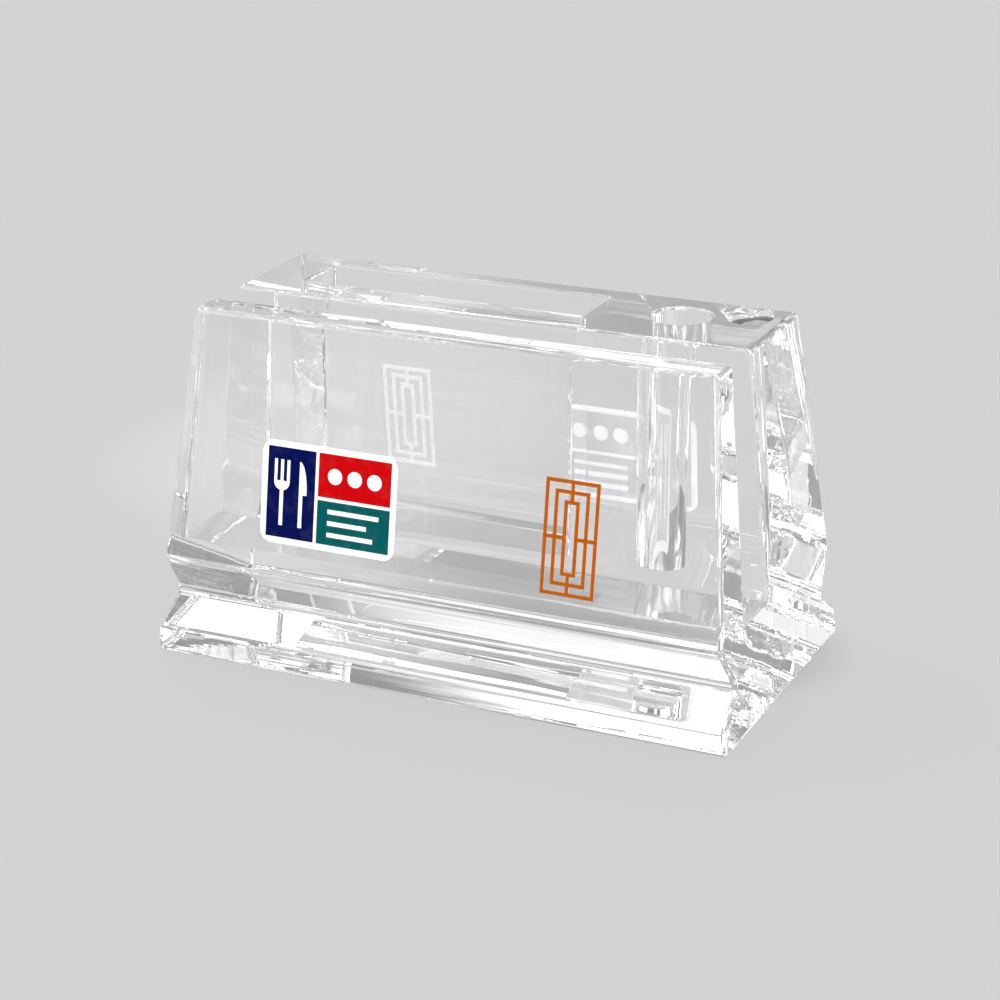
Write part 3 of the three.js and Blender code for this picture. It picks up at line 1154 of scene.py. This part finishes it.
# Each lamp: azimuth of its middle and half its width, its lower and its upper elevation, all in degrees,
# and how much brighter it is than the room.
LAMPS = (
    (270, 45, 55, 90, 2.0),
    (135, 45, 35, 90, 0.95),
    (277, 8, 0, 20, 14.0),
    (110, 10, 20, 35, 0.8),
    (330, 90, 35, 55, 0.95),
    (112, 22, 55, 90, 9.0),
    (180, 30, 35, 55, 4.0),
    (22, 22, 55, 75, 4.0),
    (230, 10, 20, 35, 4.0),
    (157, 22, 8, 75, 0.8),
    (315, 45, 0, 8, 2.2),
    (112, 8, 8, 20, 0.4),
)
print("studio of", len(LAMPS), "soft panels")

# %% World
HORIZON, ZENITH = 0, 90


def lamp_light(shading, level, height, lamp):
    """A panel is where cos(azimuth - middle) is over cos(half width) and the height z of the direction is
    between the sines of its elevations. It has no lower edge at the horizon, and no upper one overhead."""
    middle, half, bottom, top, strength = lamp
    towards = (math.cos(math.radians(middle)), math.sin(math.radians(middle)), 0)
    dot = shading.node("ShaderNodeVectorMath", {"operation": "DOT_PRODUCT"}, {0: level, 1: towards})
    wide, narrow = np.cos(np.radians([half + LAMP_EDGE, half - LAMP_EDGE]))
    light = Value(shading, dot.outputs["Value"]).smooth_step(wide, narrow) * strength
    if bottom > HORIZON:
        light = light * height.smooth_step(*np.sin(np.radians([bottom - LAMP_EDGE, bottom + LAMP_EDGE])))
    if top < ZENITH:
        light = light * (1 - height.smooth_step(*np.sin(np.radians([top - LAMP_EDGE, top + LAMP_EDGE]))))
    return light


def make_world():
    """The room's grey plus the lamps."""
    world = bpy.data.worlds.new("studio")
    world.use_nodes = True
    bpy.context.scene.world = world
    shading = Shading(world.node_tree)
    background = world.node_tree.nodes["Background"]
    direction = shading.node("ShaderNodeTexCoord").outputs["Generated"]
    level = shading.node("ShaderNodeVectorMath", {"operation": "MULTIPLY"}, {0: direction, 1: (1, 1, 0)})
    level = shading.node("ShaderNodeVectorMath", {"operation": "NORMALIZE"}, {0: level.outputs[0]})
    height = shading.parts(direction)[2]
    light = ROOM
    for lamp in LAMPS:
        light = lamp_light(shading, level.outputs[0], height, lamp) + light
    shading.feed(background.inputs["Strength"], light)
    background.inputs["Color"].default_value = (1, 1, 1, 1)
    print("world of", len(world.node_tree.nodes), "nodes")


make_world()

# %% [markdown]
# ## The camera
#
# The photograph has the view of a long lens some 0.65 m away, a little above the stand and to its right. A
# camera could be aimed by eye with a Track To constraint. This one is placed by the position, the two angles
# and the roll that bring the stand's corners to where the photograph has them.

# %% Camera
CAMERA_AT = np.array([258.81, -541.30, 266.45]) * MM
CAMERA_AZIMUTH, CAMERA_ELEVATION, CAMERA_ROLL = np.radians([25.483, 20.894, -0.691])
LENS = 94.98
SENSOR_WIDTH = 36
NEAREST, FARTHEST = 0.01, 50        # what the camera can see, in metres


def make_camera():
    """The camera looks along -back. right and up complete its axes, turned by the roll."""
    a, e, r = CAMERA_AZIMUTH, CAMERA_ELEVATION, CAMERA_ROLL
    back = np.array([np.sin(a) * np.cos(e), -np.cos(a) * np.cos(e), np.sin(e)])
    right = np.array([np.cos(a), np.sin(a), 0])
    up = np.cross(back, right)
    turn = np.array([[np.cos(r), np.sin(r), 0], [-np.sin(r), np.cos(r), 0], [0, 0, 1]])
    axes = turn @ np.array([right, up, back])
    data = bpy.data.cameras.new("camera")
    data.lens = LENS
    data.sensor_width = SENSOR_WIDTH
    data.clip_start, data.clip_end = NEAREST, FARTHEST
    camera = bpy.data.objects.new("camera", data)
    bpy.context.scene.collection.objects.link(camera)
    camera.matrix_world = Matrix.Translation(CAMERA_AT) @ Matrix(axes.T).to_4x4()
    bpy.context.scene.camera = camera
    print("camera looks along", np.round(-back, 3))


make_camera()

# %% [markdown]
# ## Light paths
#
# A ray that enters the stand is mirrored many times before it leaves, and each joint that it passes counts
# as see-through. With Blender's usual limits such rays would end early and leave black patches. So more
# steps are allowed here, and the view transform is the plain one, which keeps white as white.

# %% Light paths and view
BOUNCES = 40
CLEAR_BOUNCES = 32
SEE_THROUGH_FACES = 64

scene = bpy.context.scene
scene.view_settings.view_transform = "Standard"
scene.cycles.max_bounces = BOUNCES
scene.cycles.transmission_bounces = CLEAR_BOUNCES
scene.cycles.glossy_bounces = CLEAR_BOUNCES
scene.cycles.transparent_max_bounces = SEE_THROUGH_FACES
print("rays may take", BOUNCES, "steps")
